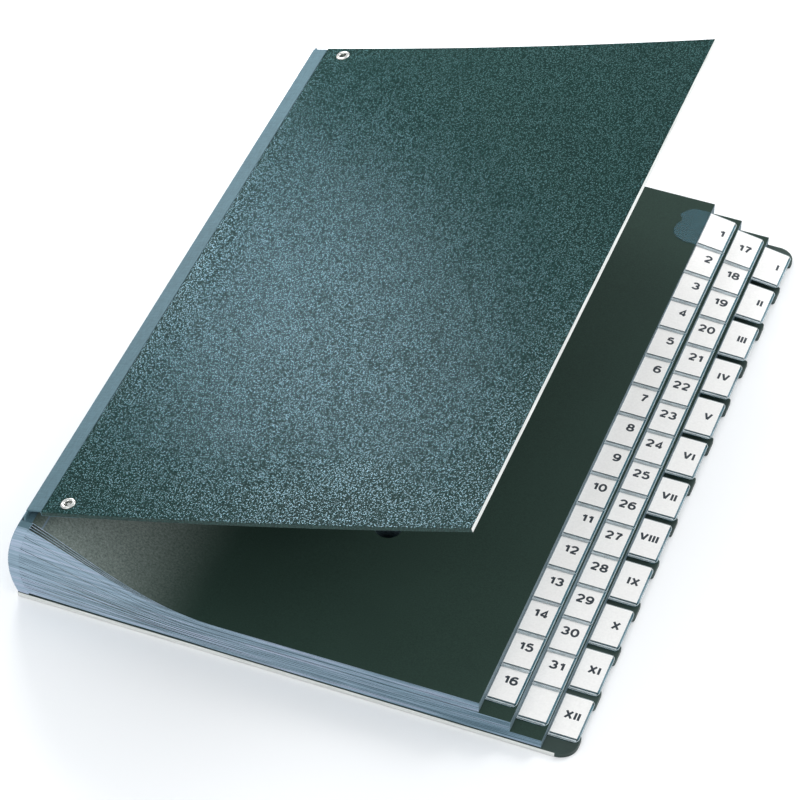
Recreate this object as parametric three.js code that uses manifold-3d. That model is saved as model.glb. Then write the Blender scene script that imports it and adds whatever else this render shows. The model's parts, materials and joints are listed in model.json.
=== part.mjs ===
// A desk sorter for loose papers: 44 divider leaves between two boards, held at an expanding
// pleated spine. 31 leaves and a spare are for the days of a month, 12 are for the months.
// Millimetres. X runs from the spine to the fore edge, Y along the spine and Z up.

import * as THREE from 'three';
import { mergeVertices } from 'three/addons/utils/BufferGeometryUtils.js';
import Module from 'manifold-3d';

const wasm = await Module();
wasm.setup();

// Divider leaves. The three sets get wider by one step each from the top down, and the back
// board by one more, so that every set's tabs lie beside each other.
const leafThickness = 0.37;
const topLeafWidth = 209;
const leafStep = 14;
const stackSag = 1.1;
const viewHoleRadius = 6;
const viewHoleX = 139;
const viewHolePitch = 89;
const viewHoleCount = 3;
const viewHoleSides = 24;

// Back board
const boardLength = 340;
const boardWidth = topLeafWidth + 3 * leafStep;
const boardThickness = 2.5;
const boardCornerRadius = 8;

// Thumb notch in the board's fore edge, under each month tab
const notchLength = 16.5;
const notchDepth = 3;
const notchCornerRadius = 1.6;
const notchSetback = 3.5;

// How the leaves fan out towards the spine
const spineHeight = 45.5;
const spineBulge = 9.5;
const spineBulgeHeight = 17.5;
const spineLean = 3.3;
const fanStart = 14;
const fanReach = 93;
const fanSteps = 7;
const fanStepGrowth = 1.35;
const fanSteepness = 2.4;
const fanShoulder = 1.1;
const looseLeaves = 3;
const looseShare = 0.12;

// How far a leaf's ends stand back from the board's ends, leaf by leaf
const leafSetbacks = [0.3, 0.55, 0.2, 0.45];

// Spine gusset, a pleated ribbon
const pleatDepth = 3;
const ribbonWidth = 1.8;
const gussetClearance = 0.3;
const gussetSetback = 0.5;
const lipThickness = 0.8;
const lipHeight = 2.7;

// Index tabs
const tabLength = 25;
const tabWidth = 13.7;
const tabCornerRadius = 2.4;
const tabBackMargin = 7;
const tabFrontMargin = 8;
const wingReach = 13.5;
const wingCornerRadius = 7;
const wingThickness = 0.25;

// Front cover, drawn open as it stands, and its hinge strip of cloth
const coverEndSetback = 2;
const coverLength = boardLength - 2 * coverEndSetback;
const coverForeSetback = 3;
const coverReach = topLeafWidth - coverForeSetback;
const coverThickness = 2;
const coverOpening = 16.7;
const coverBow = 3.75;
const coverSegments = 10;
const hingeForward = 1.7;
const hingeX = spineLean + hingeForward;
const hingeClearance = 0.3;
const stripThickness = 0.8;
const gussetTop = boardThickness + spineHeight + lipHeight;
const hingeZ = gussetTop + hingeClearance + stripThickness / 2;
const stripWidth = 7;
const stripGap = 0.3;
const stripEndSetback = 1;
const stripLength = coverLength - 2 * stripEndSetback;
const beadSteps = 6;
const tongueReach = 24;
const tongueThickness = 0.6;

// Hollow rivets that hold the cover board to the strip's tongue
const eyeletInset = 17.5;
const eyeletEndInset = 6.2;
const eyeletFlangeRadius = 3.4;
const eyeletBarrelRadius = 2.1;
const eyeletBoreRadius = 1.6;
const eyeletFlangeThickness = 0.5;
const eyeletClearance = 0.3;
const eyeletSides = 20;

// How finely the small round corners are drawn
const notchCurveSteps = 3;
const tabCurveSteps = 4;
const wingCurveSteps = 6;

// The three sets of leaves from the bottom up, with the first leaf's number in the stack
const monthLeaves = 12;
const dayLeaves = 16;
const leafCount = monthLeaves + 2 * dayLeaves;
const leafSets = [
  { name: 'month_leaves', first: 0, count: monthLeaves, width: topLeafWidth + 2 * leafStep },
  { name: 'day_leaves_lower', first: monthLeaves, count: dayLeaves, width: topLeafWidth + leafStep },
  { name: 'day_leaves_upper', first: monthLeaves + dayLeaves, count: dayLeaves, width: topLeafWidth },
];

const material = (color, roughness, metalness = 0) =>
  new THREE.MeshStandardMaterial({ color, roughness, metalness });

const finish = {
  cover: material(0x2b4a50, 0.6),
  strip: material(0x415c64, 0.7),
  leaf: material(0x22312c, 0.8),
  gusset: material(0x5f7f8c, 0.8),
  board: material(0x2c403c, 0.7),
  tab: material(0xe6e4e2, 0.4),
  eyelet: material(0xc8c9c6, 0.25, 1),
};

// Solids from three.js geometry and back again

function toSolid(geometry) {
  const bare = geometry.clone();
  bare.deleteAttribute('normal');
  bare.deleteAttribute('uv');
  const merged = mergeVertices(bare, 1e-5);
  return new wasm.Manifold(new wasm.Mesh({
    numProp: 3,
    vertProperties: new Float32Array(merged.attributes.position.array),
    triVerts: new Uint32Array(merged.index.array),
  }));
}

function toGeometry(solid) {
  const mesh = solid.getMesh();
  const geometry = new THREE.BufferGeometry();
  const positions = new Float32Array(mesh.numVert * 3);
  for (let v = 0; v < mesh.numVert; v += 1) {
    for (let axis = 0; axis < 3; axis += 1) {
      positions[v * 3 + axis] = mesh.vertProperties[v * mesh.numProp + axis];
    }
  }
  geometry.setAttribute('position', new THREE.BufferAttribute(positions, 3));
  geometry.setIndex(new THREE.BufferAttribute(new Uint32Array(mesh.triVerts), 1));
  geometry.computeVertexNormals();
  return geometry;
}

// A section in X and Z, given as [x, z] points, drawn out along Y
function prismAlongY(section, fromY, toY) {
  const shape = new THREE.Shape(section.map(([x, z]) => new THREE.Vector2(x, z)));
  const geometry = new THREE.ExtrudeGeometry(shape, { depth: toY - fromY, bevelEnabled: false });
  geometry.rotateX(Math.PI / 2);
  geometry.translate(0, toY, 0);
  return geometry;
}

function plate(shape, thickness, curveSegments, lowZ) {
  const geometry = new THREE.ExtrudeGeometry(shape, {
    depth: thickness,
    bevelEnabled: false,
    curveSegments,
  });
  geometry.translate(0, 0, lowZ);
  return geometry;
}

function named(name, geometry, finishMaterial) {
  const mesh = new THREE.Mesh(geometry, finishMaterial);
  mesh.name = name;
  return mesh;
}

// The leaves' own shape

// The gusset's outer face, from the board (share 0) to the top of the spine (share 1)
const spineCurve = new THREE.QuadraticBezierCurve(
  new THREE.Vector2(0, boardThickness),
  new THREE.Vector2(-spineBulge, boardThickness + spineBulgeHeight),
  new THREE.Vector2(spineLean, boardThickness + spineHeight),
);

// Where the boundary under leaf number `level` starts, at the spine. The top few stand apart.
function leafRoot(level) {
  const dense = leafCount - looseLeaves;
  const share = level <= dense
    ? (1 - looseShare) * (level / dense)
    : 1 - looseShare * ((leafCount - level) / looseLeaves);
  const point = spineCurve.getPoint(share);
  return { x: point.x + pleatDepth + ribbonWidth + gussetClearance, z: point.y };
}

// Height of the boundary under leaf number `level` away from the spine. The tabs prop the
// stack up at the fore edge, so it sags a little between them and the fan.
function flatHeight(level, x) {
  const towardsTabs = THREE.MathUtils.clamp((x - fanReach) / (topLeafWidth - fanReach), 0, 1);
  return boardThickness + level * (leafThickness - (stackSag / leafCount) * (1 - towardsTabs));
}

function leafHeight(level, x) {
  const root = leafRoot(level);
  const share = THREE.MathUtils.clamp((x - root.x) / (fanReach - root.x), 0, 1);
  const lift = (1 - share) ** fanSteepness * (1 + fanShoulder * share);
  return flatHeight(level, x) + (root.z - flatHeight(level, root.x)) * lift;
}

// Closer together towards the spine, where the leaves bend most
const fanStations = Array.from({ length: fanSteps + 1 }, (_, i) =>
  fanStart + (fanReach - fanStart) * (i / fanSteps) ** fanStepGrowth);
const leafStations = fanStations.concat(topLeafWidth);

// The line between two leaves, from the spine to the fore edge of a leaf of this width
function leafLine(level, width) {
  const root = leafRoot(level);
  const stations = leafStations.filter((x) => x < width).concat(width);
  return [[root.x, root.z]].concat(stations.map((x) => [x, leafHeight(level, x)]));
}

// A loose leaf keeps its own thickness where the fan opens it away from the leaf below
function leafSection(level, width) {
  const top = leafLine(level + 1, width);
  const bottom = leafLine(level, width);
  const loose = level >= leafCount - looseLeaves;
  const underside = loose
    ? top.map(([x, z], i) => [x, i > 0 ? Math.max(z - leafThickness, bottom[i][1]) : z - leafThickness])
    : bottom;
  return underside.concat(top.slice().reverse());
}

function viewHole(index) {
  const length = 4 * gussetTop;
  const hole = new THREE.CylinderGeometry(viewHoleRadius, viewHoleRadius, length, viewHoleSides);
  hole.rotateX(Math.PI / 2);
  const fromMiddle = (index - (viewHoleCount - 1) / 2) * viewHolePitch;
  hole.translate(viewHoleX, boardLength / 2 + fromMiddle, 0);
  return toSolid(hole);
}

function leafSet({ name, first, count, width }) {
  const leaves = [];
  for (let level = first; level < first + count; level += 1) {
    const setback = leafSetbacks[level % leafSetbacks.length];
    leaves.push(toSolid(prismAlongY(leafSection(level, width), setback, boardLength - setback)));
  }
  let stack = leaves.reduce((below, leaf) => below.add(leaf));
  for (let index = 0; index < viewHoleCount; index += 1) {
    stack = stack.subtract(viewHole(index));
  }
  return named(name, toGeometry(stack), finish.leaf);
}

// Back board

// From the first tab's upper end to the last one's, the same in all three columns
const tabSpan = boardLength - tabBackMargin - tabFrontMargin - tabLength;
const monthPitch = tabSpan / (monthLeaves - 1);
const dayPitch = tabSpan / (dayLeaves - 1);

// The upper end of tab number `index` in a column, counted from the back of the sorter
const tabEnd = (index, pitch) => boardLength - tabBackMargin - index * pitch;

function backBoard() {
  const r = boardCornerRadius;
  const c = notchCornerRadius;
  const edge = boardWidth;
  const floor = boardWidth - notchDepth;
  const shape = new THREE.Shape();
  shape.moveTo(0, 0);
  shape.lineTo(edge - r, 0);
  shape.absarc(edge - r, r, r, -Math.PI / 2, 0, false);
  for (let index = monthLeaves - 1; index >= 0; index -= 1) {
    const high = tabEnd(index, monthPitch) - notchSetback;
    const low = high - notchLength;
    shape.lineTo(edge, low - c);
    shape.quadraticCurveTo(edge, low, edge - notchDepth / 2, low);
    shape.quadraticCurveTo(floor, low, floor, low + c);
    shape.lineTo(floor, high - c);
    shape.quadraticCurveTo(floor, high, edge - notchDepth / 2, high);
    shape.quadraticCurveTo(edge, high, edge, high + c);
  }
  shape.lineTo(edge, boardLength - r);
  shape.absarc(edge - r, boardLength - r, r, 0, Math.PI / 2, false);
  shape.lineTo(0, boardLength);
  shape.closePath();
  return named('back_board', plate(shape, boardThickness, notchCurveSteps, 0), finish.board);
}

// Spine gusset: one pleat a leaf, and a lip that reaches up to the cover's hinge

function spineGusset() {
  const outer = [];
  const inner = [];
  const folds = 2 * leafCount;
  for (let fold = 0; fold <= folds; fold += 1) {
    const point = spineCurve.getPoint(fold / folds);
    const x = point.x + (fold % 2 === 0 ? pleatDepth : 0);
    outer.push([x, point.y]);
    inner.push([x + ribbonWidth, point.y]);
  }
  const lipRoot = spineCurve.getPoint(1).y - lipThickness;
  const lipSection = [
    [hingeX - lipThickness / 2, lipRoot],
    [hingeX - lipThickness / 2, gussetTop],
    [hingeX + lipThickness / 2, gussetTop],
    [hingeX + lipThickness / 2, lipRoot],
  ];
  const [from, to] = [gussetSetback, boardLength - gussetSetback];
  const ribbon = toSolid(prismAlongY(outer.concat(inner.reverse()), from, to));
  const lip = toSolid(prismAlongY(lipSection, from, to));
  return named('spine_gusset', toGeometry(ribbon.add(lip)), finish.gusset);
}

// Index tabs: a film sleeve with its label, at the height of its own leaf

function tabShape(foreEdge, end) {
  const r = tabCornerRadius;
  const outer = foreEdge + tabWidth;
  const low = end - tabLength;
  const shape = new THREE.Shape();
  shape.moveTo(foreEdge, low);
  shape.lineTo(outer - r, low);
  shape.absarc(outer - r, low + r, r, -Math.PI / 2, 0, false);
  shape.lineTo(outer, end - r);
  shape.absarc(outer - r, end - r, r, 0, Math.PI / 2, false);
  shape.lineTo(foreEdge, end);
  shape.closePath();
  return shape;
}

// The top tab's wing lies open on the first leaf, where the others are between leaves
function wingShape(foreEdge, end) {
  const r = wingCornerRadius;
  const inner = foreEdge - wingReach;
  const low = end - tabLength;
  const shape = new THREE.Shape();
  shape.moveTo(foreEdge + tabCornerRadius, low);
  shape.lineTo(foreEdge + tabCornerRadius, end);
  shape.lineTo(inner + r, end);
  shape.absarc(inner + r, end - r, r, Math.PI / 2, Math.PI, false);
  shape.lineTo(inner, low + r);
  shape.absarc(inner + r, low + r, r, Math.PI, 1.5 * Math.PI, false);
  shape.closePath();
  return shape;
}

// Tab number `index` of a set of leaves, counted from the set's top leaf and from the back
function indexTab(name, { first, count, width }, index, pitch) {
  const level = first + count - 1 - index;
  const low = flatHeight(level, width);
  const high = flatHeight(level + 1, width);
  const shape = tabShape(width, tabEnd(index, pitch));
  return named(name, plate(shape, high - low, tabCurveSteps, low), finish.tab);
}

function topTab(name, { count, first, width }, pitch) {
  const level = first + count - 1;
  const low = flatHeight(level, width);
  const high = flatHeight(level + 1, width);
  const end = tabEnd(0, pitch);
  const thickness = high + wingThickness - low;
  const sleeve = toSolid(plate(tabShape(width, end), thickness, tabCurveSteps, low));
  const wing = toSolid(plate(wingShape(width, end), wingThickness, wingCurveSteps, high));
  return named(name, toGeometry(sleeve.add(wing)), finish.tab);
}

function tabNames() {
  const twoDigits = (number) => String(number).padStart(2, '0');
  const days = Array.from({ length: 2 * dayLeaves }, (_, i) => `day_tab_${twoDigits(i + 1)}`);
  days[days.length - 1] = 'spare_tab';
  const months = Array.from({ length: monthLeaves }, (_, i) => `month_tab_${twoDigits(i + 1)}`);
  return { upper: days.slice(0, dayLeaves), lower: days.slice(dayLeaves), months };
}

function indexTabs() {
  const [monthSet, lowerSet, upperSet] = leafSets;
  const names = tabNames();
  const tabs = [topTab(names.upper[0], upperSet, dayPitch)];
  names.upper.slice(1).forEach((name, i) => tabs.push(indexTab(name, upperSet, i + 1, dayPitch)));
  names.lower.forEach((name, i) => tabs.push(indexTab(name, lowerSet, i, dayPitch)));
  names.months.forEach((name, i) => tabs.push(indexTab(name, monthSet, i, monthPitch)));
  return tabs;
}

// Front cover. Its sections are drawn flat, as [s, n]: s along the cover from the hinge axis,
// n square to it, and bent to the bow that the open cover has.

const coverTop = stripThickness / 2;
const coverBottom = coverTop - coverThickness;
const tongueTop = coverBottom - stripGap;
const tongueBottom = tongueTop - tongueThickness;

function coverAngle(s) {
  return THREE.MathUtils.degToRad(coverOpening + coverBow * (s / coverReach));
}

function bent([s, n]) {
  const curvature = THREE.MathUtils.degToRad(coverBow) / coverReach;
  const start = coverAngle(0);
  const angle = coverAngle(s);
  return [
    hingeX + (Math.sin(angle) - Math.sin(start)) / curvature - n * Math.sin(angle),
    hingeZ - (Math.cos(angle) - Math.cos(start)) / curvature + n * Math.cos(angle),
  ];
}

const coverFrom = (boardLength - coverLength) / 2;
const stripFrom = (boardLength - stripLength) / 2;
const eyeletPlaces = [coverFrom + eyeletEndInset, boardLength - coverFrom - eyeletEndInset];

function rivetHole(y) {
  const r = eyeletBarrelRadius + eyeletClearance;
  const length = 10 * (coverThickness + stripThickness);
  const drill = new THREE.CylinderGeometry(r, r, length, eyeletSides);
  drill.rotateX(Math.PI / 2);
  drill.rotateY(-coverAngle(eyeletInset));
  const [x, z] = bent([eyeletInset, 0]);
  drill.translate(x, y, z);
  return toSolid(drill);
}

function withRivetHoles(geometry) {
  return toGeometry(eyeletPlaces.reduce((solid, y) => solid.subtract(rivetHole(y)), toSolid(geometry)));
}

function frontCover() {
  const start = stripWidth + stripGap;
  const top = [];
  const bottom = [];
  for (let i = 0; i <= coverSegments; i += 1) {
    const s = THREE.MathUtils.lerp(start, coverReach, i / coverSegments);
    top.push(bent([s, coverTop]));
    bottom.push(bent([s, coverBottom]));
  }
  const board = prismAlongY(bottom.concat(top.reverse()), coverFrom, coverFrom + coverLength);
  return named('front_cover', withRivetHoles(board), finish.cover);
}

function hingeStrip() {
  const bead = [];
  for (let i = 0; i <= beadSteps; i += 1) {
    const angle = Math.PI / 2 + (i / beadSteps) * Math.PI;
    bead.push([coverTop * Math.cos(angle), coverTop * Math.sin(angle)]);
  }
  const section = bead.concat([
    [stripWidth - stripThickness, -coverTop],
    [stripWidth - stripThickness, tongueBottom],
    [tongueReach, tongueBottom],
    [tongueReach, tongueTop],
    [stripWidth, tongueTop],
    [stripWidth, coverTop],
  ]);
  const strip = prismAlongY(section.map(bent), stripFrom, stripFrom + stripLength);
  return named('hinge_strip', withRivetHoles(strip), finish.strip);
}

function eyelet(name, y) {
  const upperSeat = coverTop + eyeletClearance;
  const lowerSeat = tongueBottom - eyeletClearance;
  const high = upperSeat + eyeletFlangeThickness;
  const low = lowerSeat - eyeletFlangeThickness;
  const lip = eyeletFlangeThickness / 2;
  const outline = [
    [eyeletBoreRadius, low],
    [eyeletFlangeRadius - lip, low],
    [eyeletFlangeRadius, lowerSeat - lip],
    [eyeletFlangeRadius - lip / 2, lowerSeat],
    [eyeletBarrelRadius, lowerSeat],
    [eyeletBarrelRadius, upperSeat],
    [eyeletFlangeRadius - lip / 2, upperSeat],
    [eyeletFlangeRadius, upperSeat + lip],
    [eyeletFlangeRadius - lip, high],
    [eyeletBoreRadius + lip, high],
    [eyeletBoreRadius, high - lip],
    [eyeletBoreRadius, low],
  ];
  const points = outline.map(([r, n]) => new THREE.Vector2(r, n));
  const geometry = new THREE.LatheGeometry(points, eyeletSides);
  geometry.rotateX(Math.PI / 2);
  const mesh = named(name, geometry, finish.eyelet);
  const [x, z] = bent([eyeletInset, 0]);
  mesh.rotation.y = -coverAngle(eyeletInset);
  mesh.position.set(x, y, z);
  return mesh;
}

const cover = new THREE.Group();
cover.add(frontCover(), hingeStrip());
cover.add(eyelet('cover_eyelet_front', eyeletPlaces[0]), eyelet('cover_eyelet_back', eyeletPlaces[1]));

const body = new THREE.Group();
body.add(backBoard(), spineGusset(), ...leafSets.map(leafSet), ...indexTabs());

// The origin is under the middle of the sorter, on the surface that it lies on
const group = new THREE.Group();
group.add(body, cover);
const spineOutside = new THREE.Box3().setFromObject(body).min.x;
group.position.set(-(spineOutside + boardWidth) / 2, -boardLength / 2, 0);
group.updateMatrixWorld(true);

export default group;
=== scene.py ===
"""A desk sorter for loose papers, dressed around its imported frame.

44 divider leaves lie between a toothed back board and a grained front cover that swings on a
cloth hinge. 31 leaves carry day tabs, one a blank tab and 12 carry month tabs. The frame is
loaded at the top, so that each size that it holds is read from it. All lengths are in metres.
"""

import json
import math
import random

import bmesh
import bpy
from bpy.props import FloatProperty, FloatVectorProperty, IntProperty, PointerProperty
from mathutils import Matrix, Vector, noise


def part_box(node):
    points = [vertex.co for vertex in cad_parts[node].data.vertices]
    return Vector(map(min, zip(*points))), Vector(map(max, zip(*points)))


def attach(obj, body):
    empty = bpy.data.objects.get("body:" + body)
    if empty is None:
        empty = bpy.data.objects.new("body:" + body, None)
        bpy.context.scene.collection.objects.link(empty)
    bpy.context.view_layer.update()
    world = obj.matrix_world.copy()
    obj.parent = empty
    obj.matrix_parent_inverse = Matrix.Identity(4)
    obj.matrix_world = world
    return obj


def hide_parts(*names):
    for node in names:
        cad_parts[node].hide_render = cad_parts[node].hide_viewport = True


bl_info = {
    "name": "Desk Sorter",
    "version": (1, 0, 0),
    "blender": (4, 5, 0),
    "location": "3D View > Sidebar > Desk Sorter",
    "description": "Builds the leaves, tabs, boards and hinge of a desk sorter around its frame",
    "category": "Object",
}

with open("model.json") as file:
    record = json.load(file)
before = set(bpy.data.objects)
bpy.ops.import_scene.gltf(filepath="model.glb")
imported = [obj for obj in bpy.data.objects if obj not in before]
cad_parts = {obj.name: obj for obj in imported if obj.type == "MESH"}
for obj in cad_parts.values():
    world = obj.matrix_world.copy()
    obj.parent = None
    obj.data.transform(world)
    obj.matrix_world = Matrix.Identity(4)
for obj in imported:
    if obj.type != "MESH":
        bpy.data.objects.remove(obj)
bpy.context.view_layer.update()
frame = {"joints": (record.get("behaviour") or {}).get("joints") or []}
MM = 0.001
BODY = "sorter"
COVER_BODY = "cover"

# Places read from the frame
BOARD_LOW, BOARD_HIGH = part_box("back_board")
SPINE_X = BOARD_LOW.x
FRONT_Y = BOARD_LOW.y
BACK_Y = BOARD_HIGH.y
BOARD_TOP = BOARD_HIGH.z
MONTH_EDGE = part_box("month_leaves")[1].x
LOWER_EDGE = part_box("day_leaves_lower")[1].x
UPPER_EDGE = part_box("day_leaves_upper")[1].x
COVER_LOW, COVER_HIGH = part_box("front_cover")
STRIP_LOW, STRIP_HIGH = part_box("hinge_strip")
HINGE = Vector(frame["joints"][0]["pos_m"])

# The stack of leaves, bottom one first
MONTH_LEAVES = 12
DAY_LEAVES = 16
UPPER_SET = MONTH_LEAVES + DAY_LEAVES
LEAF_COUNT = UPPER_SET + DAY_LEAVES
LOOSE_LEAVES = 3
MONTH_NUMERALS = ("I", "II", "III", "IV", "V", "VI", "VII", "VIII", "IX", "X", "XI", "XII")

# How the leaves fan out towards the spine
SPINE_HEIGHT = 45.5 * MM
SPINE_BULGE = 9.5 * MM
SPINE_BULGE_HEIGHT = 17.5 * MM
SPINE_LEAN = 3.3 * MM
FAN_REACH = 93 * MM
FAN_STEEPNESS = 2.4
FAN_SHOULDER = 1.1
LOOSE_SHARE = 0.085
GUSSET_REACH = 5.1 * MM
STACK_SAG = 1.1 * MM

# Where a painted sheen lightens the first leaf near the spine, standing in for light reflected on the
# fan's slope, as reaches from the spine: from, full, still full and to
PAINTED_SHEEN_REACHES = (3 * MM, 20 * MM, 26 * MM, 84 * MM)

# Where the leaves' cut edges grow duller, from the spine
EDGE_DULL_START = 60 * MM
EDGE_DULL_END = 260 * MM

# The front cover's section, from the hinge axis outwards
COVER_REACH = 206 * MM
COVER_OPENING = math.radians(16.7)
COVER_BOW = math.radians(3.75)
COVER_TOP = 0.4 * MM
COVER_BOTTOM = -1.6 * MM
STRIP_WIDTH = 7 * MM
STRIP_GAP = 0.3 * MM
TONGUE_TOP = -1.9 * MM
TONGUE_BOTTOM = -2.5 * MM
TONGUE_REACH = 24 * MM
COVER_EASE = 0.25 * MM
COVER_STEPS = 48
STRIP_ROOT = STRIP_WIDTH - 0.8 * MM
STRIP_EASE = 0.15 * MM
STRIP_STEPS = 6
TONGUE_MIDDLE = 0.6 * TONGUE_REACH
EYELET_INSET = 17.5 * MM
EYELET_CLEARANCE = 0.3 * MM
EYELET_BORE = 1.6 * MM
EYELET_BARREL = 2.1 * MM
EYELET_HOLE = 2.3 * MM
EYELET_SEAT = 0.02 * MM
EYELET_RIM = 0.5 * MM
EYELET_LIP = 0.2 * MM
EYELET_ROLL = 0.35 * MM
EYELET_EASE = 0.3 * MM
EYELET_SIDES = 48
DRILL_LENGTH = 12 * MM


def colour(red, green, blue):
    """A colour of 0 to 255 a channel as it looks on screen, in the linear numbers of a shader."""
    return tuple(
        part / 255 / 12.92 if part <= 10 else ((part / 255 + 0.055) / 1.055) ** 2.4
        for part in (red, green, blue)
    )


def shade(name, description, value):
    return FloatVectorProperty(
        name=name, description=description, subtype="COLOR", min=0, max=1, default=value)


def length(name, description, millimetres):
    return FloatProperty(
        name=name, description=description, unit="LENGTH", precision=5,
        min=0, default=millimetres * MM)


# Settings in the sidebar


class SorterSizes(bpy.types.PropertyGroup):
    """Sizes of the sorter's fine detail."""

    leaf_thickness: length("Leaf thickness", "Thickness of one divider leaf of card", 0.37)
    leaf_setback: length("Leaf setback", "Most that a leaf's end stands back from the board's", 0.4)
    view_hole_radius: length("Viewing hole radius", "Radius of the holes through the leaves", 6)
    view_hole_reach: length("Viewing hole place", "From the spine edge to the viewing holes", 139)
    view_hole_pitch: length("Viewing hole pitch", "From one viewing hole to the next", 89)
    tab_length: length("Tab length", "Length of a tab along the fore edge", 25)
    tab_width: length("Tab width", "How far a tab stands out from its leaf", 13.7)
    tab_corner: length("Tab corner", "Radius of a tab's outer corners", 2.4)
    tab_back_margin: length("Tab back margin", "From the board's back end to the first tab", 7)
    tab_front_margin: length("Tab front margin", "From the board's front end to the last tab", 8)
    label_length: length("Label length", "Length of the paper label in a tab", 22.4)
    label_width: length("Label width", "Width of the paper label in a tab", 12.2)
    number_height: length("Number height", "Height of the numbers on the labels", 5.0)
    tab_droop: length("Tab droop", "How far the rearmost tabs' outer edges hang down", 2.5)
    board_corner: length("Board corner", "Radius of the back board's outer corners", 8)
    notch_length: length("Notch length", "Length of the thumb notches in the board", 16.5)
    notch_depth: length("Notch depth", "Depth of the thumb notches in the board", 3)
    notch_setback: length("Notch setback", "From a month tab's end to its thumb notch", 3.5)
    eyelet_radius: length("Eyelet radius", "Outer radius of the eyelets' rims", 3.4)


class SorterColours(bpy.types.PropertyGroup):
    """Colours of the sorter's materials."""

    cover: shade("Cover", "Grained covering of the front cover", colour(30, 58, 54))
    strip: shade("Hinge strip", "Cloth of the hinge strip", colour(78, 106, 116))
    leaf: shade("Leaf", "Card of the divider leaves", colour(38, 56, 49))
    cut_edge: shade("Cut edge", "Cut edges of the divider leaves", colour(138, 161, 177))
    gusset: shade("Gusset", "Paper of the pleated gusset", colour(134, 158, 172))
    board: shade("Back board", "Covering of the back board", colour(38, 56, 51))
    raw_card: shade("Raw card", "Uncovered edges of the boards", colour(226, 228, 224))
    film: shade("Tab film", "Clear film of the tab sleeves", colour(78, 122, 136))
    label: shade("Label", "Paper of the labels", colour(246, 244, 241))
    ink: shade("Ink", "Printed numbers", colour(40, 48, 56))
    nickel: shade("Nickel", "Plating of the eyelets", colour(214, 214, 210))


class SorterStage(bpy.types.PropertyGroup):
    """The view and the light."""

    azimuth: FloatProperty(
        name="Azimuth", description="Camera's angle round the sorter", subtype="ANGLE",
        default=math.radians(18.35))
    elevation: FloatProperty(
        name="Elevation", description="Camera's angle above the horizon", subtype="ANGLE",
        default=math.radians(43.99))
    roll: FloatProperty(
        name="Roll", description="Camera's turn about its own line of sight", subtype="ANGLE",
        default=math.radians(2.69))
    distance: FloatProperty(
        name="Distance", description="From the camera to its target", unit="LENGTH",
        default=1.68049)
    lens: FloatProperty(
        name="Lens", description="Focal length", unit="CAMERA", default=166.15)
    sky: FloatProperty(
        name="Sky", description="Strength of the even light from all round", default=0.92)
    lamp: FloatProperty(
        name="Lamp", description="Strength of the large soft lamp", default=1.0)
    seed: IntProperty(
        name="Seed", description="Start of the random draws for the leaves' ends", default=7)


def sizes():
    return bpy.context.scene.sorter_sizes


def colours():
    return bpy.context.scene.sorter_colours


# Small tools for meshes


def add_object(name, data):
    thing = bpy.data.objects.new(name, data)
    bpy.context.scene.collection.objects.link(thing)
    return thing


class Shell:
    """Points and faces of a piece, each face with the number of its material."""

    def __init__(self):
        self.points = []
        self.faces = []
        self.paints = []

    def add(self, points):
        first = len(self.points)
        self.points.extend(Vector(p) for p in points)
        return list(range(first, len(self.points)))

    def face(self, corners, paint=0):
        self.faces.append(corners)
        self.paints.append(paint)

    def band(self, lower, upper, paint=0):
        """Four-sided faces between two closed loops of points."""
        count = len(lower)
        for i in range(count):
            j = (i + 1) % count
            self.face([lower[i], lower[j], upper[j], upper[i]], paint)

    def join(self, other):
        first = len(self.points)
        self.points += other.points
        self.faces += [[first + i for i in face] for face in other.faces]
        self.paints += other.paints

    def build(self, name, materials, body, smooth_angle=None):
        mesh = bpy.data.meshes.new(name)
        mesh.from_pydata(self.points, [], self.faces)
        for material in materials:
            mesh.materials.append(material)
        mesh.polygons.foreach_set("material_index", self.paints)
        mesh.validate()
        if smooth_angle is not None:
            mesh.shade_smooth()
            mesh.set_sharp_from_angle(angle=math.radians(smooth_angle))
        piece = add_object(name, mesh)
        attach(piece, body)
        return piece


def inset(outline, distance):
    """The closed outline, drawn anticlockwise, moved inwards by a distance."""
    moved = []
    count = len(outline)
    for i, point in enumerate(outline):
        before = (point - outline[i - 1]).normalized()
        after = (outline[(i + 1) % count] - point).normalized()
        inward = Vector((-before.y - after.y, before.x + after.x))
        inward.normalize()
        lean = max(0.5, inward.dot(Vector((-before.y, before.x))))
        moved.append(point + inward * (distance / lean))
    return moved


def arc(centre, radius, start, end, steps):
    """Points of an arc, its angles in degrees."""
    return [
        centre + radius * Vector((math.cos(math.radians(a)), math.sin(math.radians(a))))
        for a in (start + (end - start) * i / steps for i in range(steps + 1))
    ]


def stacked_loops(shell, loops, paints, floor_paint=0, roof_paint=0):
    """Joins closed loops, given as (outline, height), from the floor up, and closes both ends."""
    rings = [shell.add([(p.x, p.y, z) for p in outline]) for outline, z in loops]
    shell.face(rings[0][::-1], floor_paint)
    for lower, upper, paint in zip(rings, rings[1:], paints):
        shell.band(lower, upper, paint)
    shell.face(rings[-1], roof_paint)


def slab(shell, sides, ends, levels, paint):
    """A flat box from its places in X, in Y and in Z, each as (low, high)."""
    left, right = sides
    front, back = ends
    corners = [Vector(p) for p in ((left, front), (right, front), (right, back), (left, back))]
    stacked_loops(shell, [(corners, z) for z in levels], [paint], paint, paint)


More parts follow.
